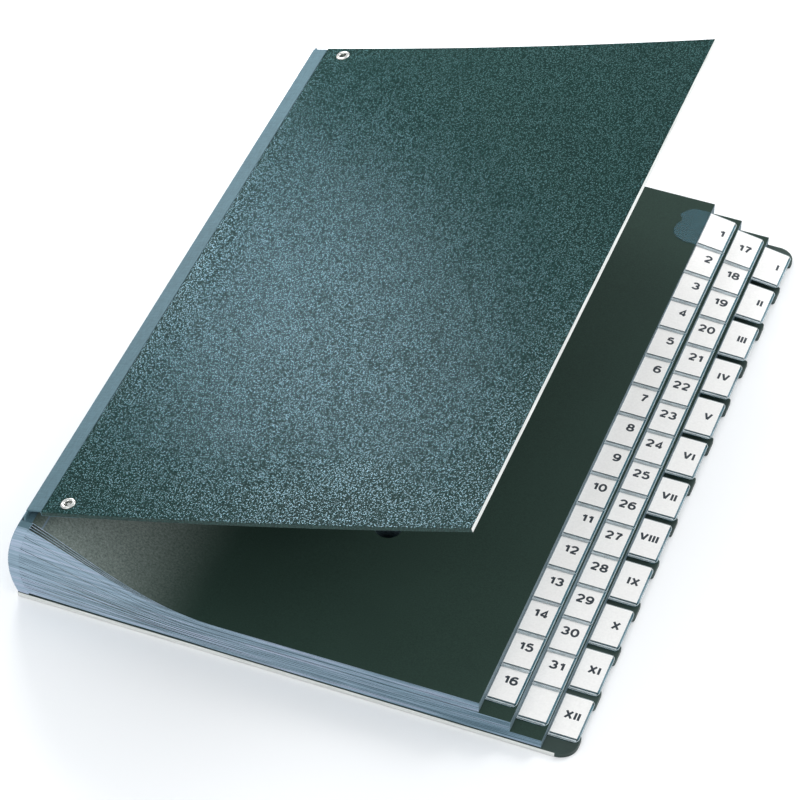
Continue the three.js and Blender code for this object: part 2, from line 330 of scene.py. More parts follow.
def cut_holes(piece, drills):
    """Cuts round holes, given as (centre, axis, radius, length), through a piece."""
    cutter_mesh = bpy.data.meshes.new("hole_cutter")
    cutter = bmesh.new()
    for centre, axis, radius, reach in drills:
        turn = Vector((0, 0, 1)).rotation_difference(axis).to_matrix().to_4x4()
        bmesh.ops.create_cone(
            cutter, cap_ends=True, segments=32, radius1=radius, radius2=radius, depth=reach,
            matrix=Matrix.Translation(centre) @ turn)
    cutter.to_mesh(cutter_mesh)
    cutter.free()
    tool = add_object("hole_cutter", cutter_mesh)
    modifier = piece.modifiers.new("holes", "BOOLEAN")
    modifier.operation = "DIFFERENCE"
    modifier.solver = "EXACT"
    modifier.object = tool
    bpy.context.view_layer.update()
    depsgraph = bpy.context.evaluated_depsgraph_get()
    cut = bpy.data.meshes.new_from_object(piece.evaluated_get(depsgraph))
    piece.modifiers.clear()
    piece.data = cut
    bpy.data.objects.remove(tool)


# Small tools for materials


class Finish:
    """A material with one Principled shader, and short calls for the nodes that feed it."""

    def __init__(self, name, roughness, specular=0.5):
        self.material = bpy.data.materials.new(name)
        self.material.use_nodes = True
        self.tree = self.material.node_tree
        self.shader = self.tree.nodes["Principled BSDF"]
        self.set("Roughness", roughness)
        self.set("Specular IOR Level", specular)
        self.place = self.tree.nodes.new("ShaderNodeTexCoord").outputs["Object"]

    def set(self, socket, value):
        self.shader.inputs[socket].default_value = value

    def feed(self, output, socket):
        self.tree.links.new(output, self.shader.inputs[socket])

    def node(self, kind, inputs, **settings):
        """A new node. An input that is another node's output is linked, and any other is set."""
        node = self.tree.nodes.new("ShaderNode" + kind)
        for name, value in settings.items():
            setattr(node, name, value)
        for socket, value in inputs.items():
            if isinstance(value, bpy.types.NodeSocket):
                self.tree.links.new(value, node.inputs[socket])
            else:
                node.inputs[socket].default_value = value
        return node

    def stretched(self, scale):
        return self.node("Mapping", {"Vector": self.place, "Scale": scale}).outputs["Vector"]

    def noise(self, scale, detail=2.0, place=None, roughness=0.5):
        inputs = {"Scale": scale, "Detail": detail, "Roughness": roughness}
        inputs["Vector"] = place or self.place
        return self.node("TexNoise", inputs).outputs["Fac"]

    def cells(self, scale, place):
        return self.node("TexVoronoi", {"Scale": scale, "Vector": place}).outputs["Distance"]

    def nudged(self, amount, distance):
        """The place, moved up to this distance by an amount of 0 to 1."""
        centred = self.maths("SUBTRACT", amount, 0.5)
        inputs = {0: centred, 1: (2 * distance,) * 3, 2: self.place}
        return self.node("VectorMath", inputs, operation="MULTIPLY_ADD").outputs["Vector"]

    def ramp(self, value, *stops):
        """A colour for a value, from stops given as (position, colour)."""
        node = self.node("ValToRGB", {"Fac": value})
        marks = node.color_ramp.elements
        for i, (position, paint) in enumerate(stops):
            mark = marks[i] if i < 2 else marks.new(position)
            mark.position = position
            mark.color = (*paint, 1)
        return node.outputs["Color"]

    def tone(self, value, base, low, high, start=0.3, end=0.7):
        """The base colour, scaled from low to high as the value goes from start to end."""
        return self.ramp(value, (start, scaled(base, low)), (end, scaled(base, high)))

    def mottle(self, base, scale, detail, low, high):
        """Feeds the base colour with a mottle that scales it from low to high."""
        self.feed(self.tone(self.noise(scale, detail), base, low, high), "Base Color")

    def between(self, value, low, high):
        """The value moved from 0 to 1 into low to high."""
        inputs = {"Value": value, "To Min": low, "To Max": high}
        return self.node("MapRange", inputs).outputs["Result"]

    def maths(self, operation, first, second):
        return self.node("Math", {0: first, 1: second}, operation=operation).outputs["Value"]

    def blend(self, share, first, second, mode="MIX"):
        """One colour over another, by a share of 0 to 1."""
        inputs = {0: share}
        for socket, value in ((6, first), (7, second)):
            inputs[socket] = (*value, 1) if isinstance(value, tuple) else value
        return self.node("Mix", inputs, data_type="RGBA", blend_type=mode).outputs[2]

    def bump(self, height, depth, strength=1.0):
        node = self.node("Bump", {"Strength": strength, "Distance": depth, "Height": height})
        self.feed(node.outputs["Normal"], "Normal")

    def slope(self, value, start, end):
        """A share that is 0 at start and beyond, and 1 at end and beyond, with a soft slope."""
        rising = start < end
        inputs = {
            "Value": value, "From Min": min(start, end), "From Max": max(start, end),
            "To Min": 0 if rising else 1, "To Max": 1 if rising else 0,
        }
        return self.node("MapRange", inputs, interpolation_type="SMOOTHSTEP").outputs["Result"]

    def window(self, value, low, rise, fall, high):
        """A share that is 0 below low, 1 from rise to fall and 0 past high, with soft slopes."""
        return self.maths("MULTIPLY", self.slope(value, low, rise), self.slope(value, high, fall))

    def across(self):
        """How far along X a point of the piece lies."""
        return self.node("SeparateXYZ", {"Vector": self.place}).outputs["X"]


def scaled(base, factor):
    return tuple(min(1.0, part * factor) for part in base)


def shifted(base, other, share):
    return tuple(a + (b - a) * share for a, b in zip(base, other))


# Materials

# Pale colour of the painted sheen that stands in for light reflected on the leaves' fan near the spine
PAINTED_SHEEN_COLOUR = colour(170, 181, 175)


def pebbled(finish, base, bright, dark):
    """Embossed cover paper: close glossy pebbles, their tops lightened as painted highlight and their
    valleys darkened as painted shade. Gives its colour and height.
    """
    wander = finish.noise(900, 3)
    warped = finish.nudged(wander, 0.34 * MM)
    pebbles = finish.cells(1300, warped)
    # The colour ramp lifts the pebbles' tops far above the base as painted glints and sinks the valleys
    # as painted shade
    grain_and_painted_glints = finish.ramp(
        pebbles, (0.12, scaled(base, bright)), (0.36, scaled(base, 1.2)), (0.6, scaled(base, dark)))
    tone = finish.tone(finish.noise(9, 3), base, 0.85, 1.15)
    swell = finish.maths("MULTIPLY", finish.noise(520, 2), 0.5)
    height = finish.maths("SUBTRACT", swell, pebbles)
    return finish.blend(0.85, tone, grain_and_painted_glints), height, pebbles


def grained_covering():
    finish = Finish("grained_covering", 0.35, 0.5)
    finish.set("Specular Tint", (*colour(135, 212, 255), 1))
    # A strong painted highlight on the pebbles' tops, standing in for the glints of the gloss
    grain_and_painted_glints, height, pebbles = pebbled(finish, tuple(colours().cover), 3.4, 0.55)
    finish.feed(grain_and_painted_glints, "Base Color")
    gloss = finish.ramp(pebbles, (0.16, (1, 1, 1)), (0.42, (0.02, 0.02, 0.02)))
    finish.feed(gloss, "Specular IOR Level")
    finish.feed(finish.between(pebbles, 0.22, 0.34), "Roughness")
    finish.bump(height, 0.08 * MM, 0.8)
    return finish.material


def covering_turn():
    """The covering where it is turned over the board's ends, pulled smooth."""
    finish = Finish("covering_turn", 0.5, 0.3)
    # A milder painted highlight on the pebbles' tops here
    grain_and_painted_glints, height, pebbles = pebbled(finish, tuple(colours().cover), 1.7, 0.6)
    finish.feed(grain_and_painted_glints, "Base Color")
    finish.feed(finish.between(pebbles, 0.45, 0.6), "Roughness")
    finish.bump(height, 0.06 * MM, 0.6)
    return finish.material


def lining_paper():
    """The smooth dark paper inside the cover and on the back board."""
    finish = Finish("lining_paper", 0.55, 0.4)
    finish.mottle(tuple(colours().board), 60, 4, 0.8, 1.25)
    finish.bump(finish.noise(2600, 3), 0.05 * MM, 0.5)
    return finish.material


def raw_card():
    """Uncovered grey board, in thin plies."""
    finish = Finish("raw_card", 0.85, 0.2)
    base = tuple(colours().raw_card)
    plies = finish.noise(1, 3, finish.stretched((60, 60, 3800)))
    finish.feed(finish.ramp(plies, (0.3, scaled(base, 0.68)), (0.62, base)), "Base Color")
    finish.bump(plies, 0.06 * MM, 0.6)
    return finish.material


def divider_card():
    """Dark calendered card with faint fibres."""
    finish = Finish("divider_card", 0.6, 0.14)
    base = tuple(colours().leaf)
    fibres = finish.noise(1700, 5, roughness=0.65)
    cloud = finish.noise(22, 3)
    flecks = finish.tone(fibres, base, 0.72, 1.45, 0.34, 0.66)
    card = finish.blend(0.5, finish.tone(cloud, base, 0.9, 1.12), flecks)
    # Near the spine the card is lightened towards the pale sheen colour and broken up by speckle: a
    # painted reflection of light on the fan's slope
    painted_sheen = finish.window(finish.across(), *(SPINE_X + reach for reach in PAINTED_SHEEN_REACHES))
    speckle = finish.noise(1100, 4, roughness=0.7)
    patchy_painted_sheen = finish.maths("MULTIPLY", painted_sheen, finish.between(speckle, -0.2, 1.2))
    finish.feed(finish.blend(patchy_painted_sheen, card, PAINTED_SHEEN_COLOUR), "Base Color")
    finish.feed(finish.between(cloud, 0.54, 0.66), "Roughness")
    finish.bump(fibres, 0.04 * MM, 0.6)
    return finish.material


def cut_edges():
    """Guillotined edges of the leaves, with the streaks that the blade leaves along them."""
    finish = Finish("cut_edges", 0.6, 0.3)
    base = tuple(colours().cut_edge)
    streaks = finish.noise(1, 4, finish.stretched((46, 46, 3000)), 0.6)
    broad = finish.noise(1, 3, finish.stretched((20, 20, 700)))
    near_spine = finish.slope(finish.across(), SPINE_X + EDGE_DULL_END, SPINE_X + EDGE_DULL_START)
    dulled = shifted(scaled(base, 0.5), colour(80, 122, 142), 0.6)
    run = finish.blend(near_spine, dulled, base)
    warm = shifted(base, colour(190, 186, 212), 0.6)
    cool = scaled(shifted(base, colour(96, 132, 150), 0.5), 0.8)
    tone = finish.ramp(broad, (0.36, scaled(cool, 0.6)), (0.5, base), (0.64, scaled(warm, 1.15)))
    mixed = finish.blend(0.45, run, tone)
    dark = finish.ramp(streaks, (0.3, (0.3, 0.33, 0.36)), (0.45, (0.95,) * 3), (0.7, (1.3,) * 3))
    finish.feed(finish.blend(0.6, mixed, dark, "MULTIPLY"), "Base Color")
    finish.bump(streaks, 0.08 * MM, 0.5)
    return finish.material


def fore_edges():
    """The leaves' fore edges, darkened as painted shade, as they face away from the light."""
    finish = Finish("fore_edges", 0.6, 0.35)
    # Darker than the cut edges: painted shade on faces that turn away from the light
    base = shifted(tuple(colours().cut_edge), tuple(colours().leaf), 0.62)
    streaks = finish.noise(1, 3, finish.stretched((30, 30, 2600)))
    finish.feed(finish.tone(streaks, base, 0.55, 1.4, 0.3, 0.68), "Base Color")
    finish.bump(streaks, 0.06 * MM, 0.5)
    return finish.material


def score_line():
    """The crease along the first leaf, where its dark surface has cracked to the pale core."""
    finish = Finish("score_line", 0.6)
    base = tuple(colours().cut_edge)
    wear = finish.noise(900, 3)
    worn = finish.ramp(wear, (0.3, scaled(tuple(colours().leaf), 1.6)), (0.42, scaled(base, 0.6)))
    finish.feed(worn, "Base Color")
    return finish.material


def gusset_paper():
    """Tough pleated paper, rubbed paler on its folds."""
    finish = Finish("gusset_paper", 0.6, 0.35)
    base = tuple(colours().gusset)
    rubbed = finish.noise(1, 4, finish.stretched((500, 26, 500)))
    finish.feed(
        finish.ramp(rubbed, (0.3, scaled(base, 0.62)), (0.5, base), (0.72, scaled(base, 1.3))),
        "Base Color")
    finish.bump(finish.noise(2200, 3), 0.05 * MM, 0.6)
    return finish.material


def gusset_fold():
    """The bottom of the folds between two pleats, where no light falls."""
    finish = Finish("gusset_fold", 0.8, 0.1)
    finish.mottle(scaled(tuple(colours().gusset), 0.16), 300, 3, 0.6, 1.8)
    return finish.material


def hinge_cloth():
    """Close-woven bookcloth: two crossed sets of fine threads."""
    finish = Finish("hinge_cloth", 0.68, 0.3)
    base = tuple(colours().strip)
    warp = finish.noise(1, 1, finish.stretched((2600, 240, 2600)))
    weft = finish.noise(1, 1, finish.stretched((240, 2600, 240)))
    half = finish.maths("MULTIPLY", finish.maths("ADD", warp, weft), 0.5)
    threads = finish.tone(half, base, 0.72, 1.3, 0.36, 0.64)
    cloud = finish.tone(finish.noise(30, 3), base, 0.9, 1.12)
    finish.feed(finish.blend(0.5, cloud, threads), "Base Color")
    finish.bump(half, 0.06 * MM, 0.6)
    return finish.material


def film(name, roughness, specular, base, mottle, alpha):
    """A kind of clear film. What lies under it shows through."""
    finish = Finish(name, roughness, specular)
    finish.mottle(base, *mottle)
    finish.set("Alpha", alpha)
    return finish.material


def film_kinds():
    """The sleeve's film: its middle, its bright welded rim, its cut side darkened as painted shade, its
    hazy margin.
    """
    base = tuple(colours().film)
    rim = shifted(base, colour(228, 237, 240), 0.88)
    return [
        film("tab_film", 0.16, 0.6, base, (140, 3, 0.85, 1.15), 0.2),
        film("film_rim", 0.2, 0.7, rim, (320, 3, 0.7, 1.1), 0.6),
        # The side's darker tint is painted shade: the dark line of the shadow along each film's cut
        # edge
        film("film_side_painted_shade", 0.35, 0.4, scaled(base, 0.7), (260, 3, 0.6, 1.5), 0.28),
        film("film_margin", 0.2, 0.5, scaled(base, 1.25), (180, 3, 0.75, 1.25), 0.5),
    ]


def label_paper():
    """White paper behind a gloss film."""
    finish = Finish("label_paper", 0.5, 0.4)
    finish.mottle(tuple(colours().label), 900, 4, 0.96, 1.03)
    finish.set("Coat Weight", 0.4)
    finish.set("Coat Roughness", 0.12)
    finish.bump(finish.noise(160, 2), 0.03 * MM, 0.4)
    return finish.material


def pocket_seam():
    """A dark strip just past a label's lower end: painted shadow of the paper's edge."""
    finish = Finish("pocket_seam", 0.5, 0.3)
    finish.mottle(colour(96, 110, 114), 500, 3, 0.6, 1.3)
    return finish.material


def printed_ink():
    finish = Finish("printed_ink", 0.5, 0.4)
    finish.mottle(tuple(colours().ink), 1400, 2, 0.85, 1.25)
    return finish.material


def nickel_plate():
    """Bright nickel with fine rolling marks."""
    finish = Finish("nickel_plate", 0.2)
    base = tuple(colours().nickel)
    finish.set("Metallic", 1.0)
    marks = finish.noise(1200, 3)
    finish.feed(finish.ramp(marks, (0.3, scaled(base, 0.82)), (0.7, base)), "Base Color")
    finish.feed(finish.between(marks, 0.12, 0.3), "Roughness")
    finish.bump(marks, 0.03 * MM, 0.3)
    return finish.material


# The leaves' own shape, in X from the spine edge and Z


def spine_point(share):
    """The gusset's outer face, from the board at 0 to the top of the spine at 1."""
    rest = 1 - share
    start = Vector((0, BOARD_TOP))
    pull = Vector((-SPINE_BULGE, BOARD_TOP + SPINE_BULGE_HEIGHT))
    end = Vector((SPINE_LEAN, BOARD_TOP + SPINE_HEIGHT))
    return start * rest * rest + pull * 2 * rest * share + end * share * share


def leaf_root(level):
    """Where the line under a leaf starts at the spine. The top few stand apart."""
    dense = LEAF_COUNT - LOOSE_LEAVES
    if level <= dense:
        share = (1 - LOOSE_SHARE) * level / dense
    else:
        share = 1 - LOOSE_SHARE * (LEAF_COUNT - level) / LOOSE_LEAVES
    point = spine_point(share)
    return Vector((point.x + GUSSET_REACH, point.y))


def flat_height(level, x):
    near_tabs = (x - FAN_REACH) / (UPPER_EDGE - SPINE_X - FAN_REACH)
    near_tabs = min(1.0, max(0.0, near_tabs))
    pitch = sizes().leaf_thickness - STACK_SAG / LEAF_COUNT * (1 - near_tabs)
    return BOARD_TOP + level * pitch


def leaf_height(level, x):
    root = leaf_root(level)
    share = min(1.0, max(0.0, (x - root.x) / (FAN_REACH - root.x)))
    lift = (1 - share) ** FAN_STEEPNESS * (1 + FAN_SHOULDER * share)
    return flat_height(level, x) + (root.y - flat_height(level, root.x)) * lift


# Divider leaves

SCORE_PLACE = 12.5 * MM
SCORE_WIDTH = 0.7 * MM
HOLE_CELL = 8 * MM
HOLE_STEPS = 32
HOLE_ROWS = (1, 3, 5)
NEARLY = 1e-9
SET_GAP = 0.17 * MM
SET_GAP_REACH = 40 * MM
BOTTOM_SETBACK = 1.0 * MM
BEND_STEPS = 26
BEND_CROWDING = 1.3
FIRST_BEND = 13.5 * MM
FLAT_STATIONS = (112 * MM, 165 * MM, 188 * MM)
CARD_SHARE = 0.92
HAIRLINE = 0.02 * MM
CARD, CUT, FORE, SCORE = range(4)

# The gaps between packed leaves: where they open most, and the least and most share of a leaf
GAP_MIDDLE = 62 * MM
GAP_SPREAD = 46 * MM
GAP_LEAST = 0.05
GAP_MOST = 0.6


def leaf_stations(edge):
    """X places of a leaf's cross lines: closer together where it bends, and round the holes."""
    hole = sizes().view_hole_reach
    score = [SCORE_PLACE, SCORE_PLACE + SCORE_WIDTH / 2, SCORE_PLACE + SCORE_WIDTH]
    steps = range(1, BEND_STEPS + 1)
    bends = [FAN_REACH * (i / BEND_STEPS) ** BEND_CROWDING for i in steps]
    flat = sorted([*FLAT_STATIONS, hole - HOLE_CELL, hole + HOLE_CELL, edge])
    return score + [x for x in bends if x > FIRST_BEND] + flat


def leaf_gap(level, x):
    """Share of a leaf's room left open above it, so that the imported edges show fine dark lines."""
    in_fan = math.exp(-((x - GAP_MIDDLE) / GAP_SPREAD) ** 2)
    low_down = 1 - 0.75 * max(0, level - MONTH_LEAVES) / (LEAF_COUNT - MONTH_LEAVES)
    wave = noise.noise(Vector((x * 26, level * 3.7, 1.3)))
    bundle = noise.noise(Vector((level * 1.7, 4.1, x * 8)))
    opened = max(0, 0.1 + 0.9 * wave + 0.5 * bundle) * in_fan * low_down
    return min(GAP_MOST, GAP_LEAST + 1.1 * opened)


def leaf_profile(level, edge):
    """Top and bottom line of one leaf, as lists of (x, z)."""
    root = leaf_root(level)
    upper_root = leaf_root(level + 1)
    start = max(root.x, upper_root.x)
    top, bottom = [], []
    for x in [start] + leaf_stations(edge):
        low = leaf_height(level, x)
        high = leaf_height(level + 1, x)
        room = high - low
        if level >= LEAF_COUNT - LOOSE_LEAVES:
            card = CARD_SHARE * min(room, sizes().leaf_thickness)
        else:
            card = room * (1 - leaf_gap(level, x))
            if level in (MONTH_LEAVES, UPPER_SET) and x > FAN_REACH:
                card = min(card, room - SET_GAP * min(1, (x - FAN_REACH) / SET_GAP_REACH))
        top.append((x, high - HAIRLINE))
        bottom.append((x, high - HAIRLINE - card))
    return top, bottom


def hole_rim(start, end, middle):
    """Points round a viewing hole, on the slope between two cross lines given as (x, z)."""
    (x0, z0), (x1, z1) = start, end
    size = sizes()
    rim = []
    for k in range(HOLE_STEPS):
        angle = math.radians(225) + math.tau * k / HOLE_STEPS
        x = size.view_hole_reach + size.view_hole_radius * math.cos(angle)
        z = z0 + (z1 - z0) * (x - x0) / (x1 - x0)
        rim.append((SPINE_X + x, middle + size.view_hole_radius * math.sin(angle), z))
    return rim


def faces_round_hole(corners, rim):
    """Faces between the four corners of a cell and the rim of the hole in it."""
    quarter = HOLE_STEPS // 4
    for side in range(4):
        near, far = corners[side], corners[(side + 1) % 4]
        first = side * quarter
        half = first + quarter // 2
        for k in range(first, half):
            yield [near, rim[k + 1], rim[k]]
        yield [near, far, rim[half]]
        for k in range(half, first + quarter):
            yield [far, rim[(k + 1) % HOLE_STEPS], rim[k]]


def leaf_surface(shell, line, rows, up, scored=False):
    """One face of a leaf: the grid of its points, and the rims of its viewing holes."""
    grid = [shell.add([(SPINE_X + x, y, z) for y in rows]) for x, z in line]
    hole_x = sizes().view_hole_reach
    score_end = SCORE_PLACE + SCORE_WIDTH
    rims = []
    for i in range(len(line) - 1):
        start, end = line[i][0], line[i + 1][0]
        in_score = scored and start >= SCORE_PLACE - NEARLY and end <= score_end + NEARLY
        for j in range(len(rows) - 1):
            faces = [[grid[i][j], grid[i + 1][j], grid[i + 1][j + 1], grid[i][j + 1]]]
            if j in HOLE_ROWS and start < hole_x < end:
                middle = (rows[j] + rows[j + 1]) / 2
                rims.append(shell.add(hole_rim(line[i], line[i + 1], middle)))
                faces = faces_round_hole(faces[0], rims[-1])
            for face in faces:
                shell.face(face if up else face[::-1], SCORE if in_score else CARD)
    return grid, rims


def add_leaf(shell, level, edge, front, back):
    holes = [step * sizes().view_hole_pitch for step in (-1, 0, 1)]
    rows = [front, *(y + side for y in holes for side in (-HOLE_CELL, HOLE_CELL)), back]
    top, bottom = leaf_profile(level, edge)
    upper, upper_rims = leaf_surface(shell, top, rows, True, level == LEAF_COUNT - 1)
    lower, lower_rims = leaf_surface(shell, bottom, rows, False)
    last = len(top) - 1
    for i in range(last):
        shell.face([lower[i][0], lower[i + 1][0], upper[i + 1][0], upper[i][0]], CUT)
        shell.face([lower[i + 1][-1], lower[i][-1], upper[i][-1], upper[i + 1][-1]], CUT)
    for j in range(len(rows) - 1):
        shell.face([lower[last][j], lower[last][j + 1], upper[last][j + 1], upper[last][j]], FORE)
        shell.face([lower[0][j + 1], lower[0][j], upper[0][j], upper[0][j + 1]], FORE)
    for below, above in zip(lower_rims, upper_rims):
        for k in range(HOLE_STEPS):
            n = (k + 1) % HOLE_STEPS
            shell.face([below[n], below[k], above[k], above[n]], FORE)


class OBJECT_OT_sorter_leaves(bpy.types.Operator):
    """Build the three sets of divider leaves, each leaf at its own height and thickness"""

    bl_idname = "object.sorter_leaves"
    bl_label = "Divider Leaves"

    def execute(self, context):
        draw = random.Random(context.scene.sorter_stage.seed)
        paints = [divider_card(), cut_edges(), fore_edges(), score_line()]
        sets = (
            ("month_leaves", "leaves_of_months", 0, MONTH_LEAVES, MONTH_EDGE),
            ("day_leaves_lower", "leaves_of_days_17_on", MONTH_LEAVES, DAY_LEAVES, LOWER_EDGE),
            ("day_leaves_upper", "leaves_of_days_1_to_16", UPPER_SET, DAY_LEAVES, UPPER_EDGE),
        )
        for node, name, first, count, edge in sets:
            shell = Shell()
            for level in range(first, first + count):
                front = FRONT_Y + draw.uniform(0.4, 1.0) * sizes().leaf_setback
                back = BACK_Y - draw.uniform(0.4, 1.0) * sizes().leaf_setback
                if level == 0:
                    front += BOTTOM_SETBACK
                add_leaf(shell, level, edge - SPINE_X, front, back)
            piece = shell.build(name, paints, BODY, smooth_angle=20)
            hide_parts(node)
        return {"FINISHED"}


# Back board

NOTCH_EASE = 1.5 * MM
BOARD_EASE = 0.2 * MM
COVERED, BARE = range(2)


def tab_end(index, pitch):
    """The upper end of a tab, counted from the back of the sorter."""
    return BACK_Y - sizes().tab_back_margin - index * pitch


def tab_pitch(count):
    """From one tab to the next, where the column has this many tabs from end to end."""
    size = sizes()
    margins = size.tab_back_margin + size.tab_front_margin
    return (BACK_Y - FRONT_Y - margins - size.tab_length) / (count - 1)


def board_outline():
    """The back board from above, with a thumb notch under each month tab."""
    size = sizes()
    edge = BOARD_HIGH.x
    radius = size.board_corner
    floor = edge - size.notch_depth
    ease = NOTCH_EASE
    points = [Vector((SPINE_X, FRONT_Y))]
    points += arc(Vector((edge - radius, FRONT_Y + radius)), radius, -90, 0, 14)
    for index in reversed(range(MONTH_LEAVES)):
        high = tab_end(index, tab_pitch(MONTH_LEAVES)) - size.notch_setback
        low = high - size.notch_length
        points += arc(Vector((edge - ease, low - ease)), ease, 0, 90, 5)
        points += arc(Vector((floor + ease, low + ease)), ease, 270, 180, 5)
        points += arc(Vector((floor + ease, high - ease)), ease, 180, 90, 5)
        points += arc(Vector((edge - ease, high + ease)), ease, 270, 360, 5)
    points += arc(Vector((edge - radius, BACK_Y - radius)), radius, 0, 90, 14)
    points.append(Vector((SPINE_X, BACK_Y)))
    return points


class OBJECT_OT_sorter_back_board(bpy.types.Operator):
    """Build the toothed back board with eased edges and its raw card showing at both ends"""

    bl_idname = "object.sorter_back_board"
    bl_label = "Back Board"

    def execute(self, context):
        outline = board_outline()
        eased = inset(outline, BOARD_EASE)
        shell = Shell()
        heights = (0, BOARD_EASE, BOARD_TOP - BOARD_EASE, BOARD_TOP)
        loops = list(zip((eased, outline, outline, eased), heights))
        stacked_loops(shell, loops, [COVERED, BARE, COVERED])
        # The toothed fore edge and its notch walls take the dark covering in place of the raw card:
        # painted shade, as that edge lies in shade.
        toothed = BOARD_HIGH.x - sizes().board_corner
        for number, corners in enumerate(shell.faces):
            if max(shell.points[c].x for c in corners) > toothed:
                shell.paints[number] = COVERED
        piece = shell.build(
            "toothed_back_board", [lining_paper(), raw_card()], BODY, smooth_angle=30)
        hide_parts("back_board")
        return {"FINISHED"}


# Spine gusset

PLEAT_DEPTH = 0.5 * MM
PLEAT_STEPS = (0.0, 0.14, 0.32, 0.5, 0.68, 0.86)
PLEAT_SHARE = 0.45
PLEAT_ROUNDNESS = 0.6
LIP_HALF = 0.4 * MM
LIP_GAP = 0.35 * MM
GUSSET_SETBACK = 0.3 * MM
PLEAT, FOLD, LIP, END = range(4)


def gusset_section():
    """The gusset's outer and inner face from the board up, with a round nose for each leaf."""
    section = []
    for level in range(LEAF_COUNT):
        low, high = leaf_root(level), leaf_root(level + 1)
        inner = max(low.x, high.x) - HAIRLINE
        depth = min(PLEAT_DEPTH, PLEAT_SHARE * (high - low).length)
        for step in PLEAT_STEPS:
            point = low + (high - low) * step
            sunk = depth * (1 - math.sin(math.pi * step) ** PLEAT_ROUNDNESS)
            paint = FOLD if step in (PLEAT_STEPS[0], PLEAT_STEPS[-1]) else PLEAT
            section.append((point.x - GUSSET_REACH + sunk, inner, point.y, paint))
    top = leaf_root(LEAF_COUNT)
    middle = HINGE.x - SPINE_X
    lip_top = HINGE.z - COVER_TOP - LIP_GAP
    section.append((middle - LIP_HALF, top.x, top.y - LIP_HALF, LIP))
    section.append((middle - LIP_HALF, middle + LIP_HALF, top.y, LIP))
    section.append((middle - LIP_HALF, middle + LIP_HALF, lip_top, LIP))
    return section


class OBJECT_OT_sorter_gusset(bpy.types.Operator):
    """Build the pleated gusset of the spine: a rubbed round fold at the root of every leaf"""

    bl_idname = "object.sorter_gusset"
    bl_label = "Spine Gusset"

    def execute(self, context):
        shell = Shell()
        section = gusset_section()
        front, back = [
            [shell.add([(SPINE_X + x, y, z) for x in (outer, inner)]) for outer, inner, z, _ in section]
            for y in (FRONT_Y + GUSSET_SETBACK, BACK_Y - GUSSET_SETBACK)
        ]
        for i in range(len(section) - 1):
            paint = section[i][3]
            shell.face([front[i][0], back[i][0], back[i + 1][0], front[i + 1][0]][::-1], paint)
            shell.face([front[i][1], front[i + 1][1], back[i + 1][1], back[i][1]][::-1], paint)
            # The ends of the top loose leaves' pleats take the darker hinge cloth: painted shade at the
            # top of the spine.
            side = LIP if i >= len(PLEAT_STEPS) * (LEAF_COUNT - LOOSE_LEAVES) else END
            shell.face([front[i][0], front[i][1], front[i + 1][1], front[i + 1][0]], side)
            shell.face([back[i][1], back[i][0], back[i + 1][0], back[i + 1][1]], side)
        shell.face([front[0][1], front[0][0], back[0][0], back[0][1]], FOLD)
        shell.face([front[-1][0], front[-1][1], back[-1][1], back[-1][0]], LIP)
        piece = shell.build(
            "pleated_gusset", [gusset_paper(), gusset_fold(), hinge_cloth(), cut_edges()],
            BODY, smooth_angle=50)
        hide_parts("spine_gusset")
        return {"FINISHED"}


# Index tabs

# Heights in a tab, from its own leaf up, and widths across the film's welded rim
FILM_FLOOR = 0.16 * MM
FILM_SHOULDER = 0.22 * MM
FILM_RIM = 0.30 * MM
FILM_EASE = 0.14 * MM
RIM_WIDTH = 0.42 * MM
RIM_SLOPE = 0.12 * MM
MARGIN_GAP = 0.08 * MM
MARGIN_END = 0.05 * MM
MIDDLE, RIM, SIDE, MARGIN = range(4)

# The label, the dark strip of painted shadow past its lower end, and the weld beyond that strip
PAPER, INK, SHADOW_STRIP = range(3)
LABEL_LOW = 0.17 * MM
LABEL_HIGH = 0.26 * MM
LABEL_INSET = 0.2 * MM
SHADOW_STRIP_WIDTH = 0.34 * MM
SHADOW_STRIP_RISE = 0.01 * MM
WELD_START = 0.8 * MM
WELD_WIDTH = 0.7 * MM

# The number's right end and middle from the tab's inner back corner, and its ink's heights
NUMBER_END = 10.0 * MM
NUMBER_DROP = 11.0 * MM
INK_HIGH = 0.275 * MM
INK_ROOT = 0.02 * MM
INK_STAGGER = 0.0004 * MM
INK_LAYERS = 12

# The numbers' strokes, gaps and breadth as shares of their height
STROKE = 0.208
SIGN_GAP = 0.1
SIGN_WIDTH = 1.1

# Where the tabs begin to hang, how the droop grows, and the steps of the cuts that let them bend
DROOP_FROM_Y = 62 * MM
DROOP_CURVE = 1.4
DROOP_STEP = 5 * MM

# The first tab's wing, in millimetres: marks round it from the tab's inner back corner, and the
# inset and the height of each loop of its pillowed section
WING_MARKS = (
    (0, -24.6), (0, 0), (-6.4, 0), (-8.8, -0.8), (-11.2, -3.2), (-12.8, -5.6), (-13.1, -7.2),
    (-11.6, -8.6), (-11.3, -11.4), (-12.6, -13.2), (-13.1, -17.6), (-12.2, -20.6),
    (-9.8, -23.2), (-6.4, -24.6),
)
WING_LOOPS = ((0, 0.01), (0, 0.08), (0.25, 0.14), (0.5, 0.1))


def droop(point, edge):
    """How far a tab hangs at this point. Only the tabs towards the sorter's back hang."""
    share = min(1.0, max(0.0, (point.y - DROOP_FROM_Y) / (BACK_Y - DROOP_FROM_Y)))
    reach = max(0.0, (point.x - edge) / sizes().tab_width)
    return sizes().tab_droop * share ** DROOP_CURVE * reach


def hang(shell, edge):
    for point in shell.points:
        point.z -= droop(point, edge)


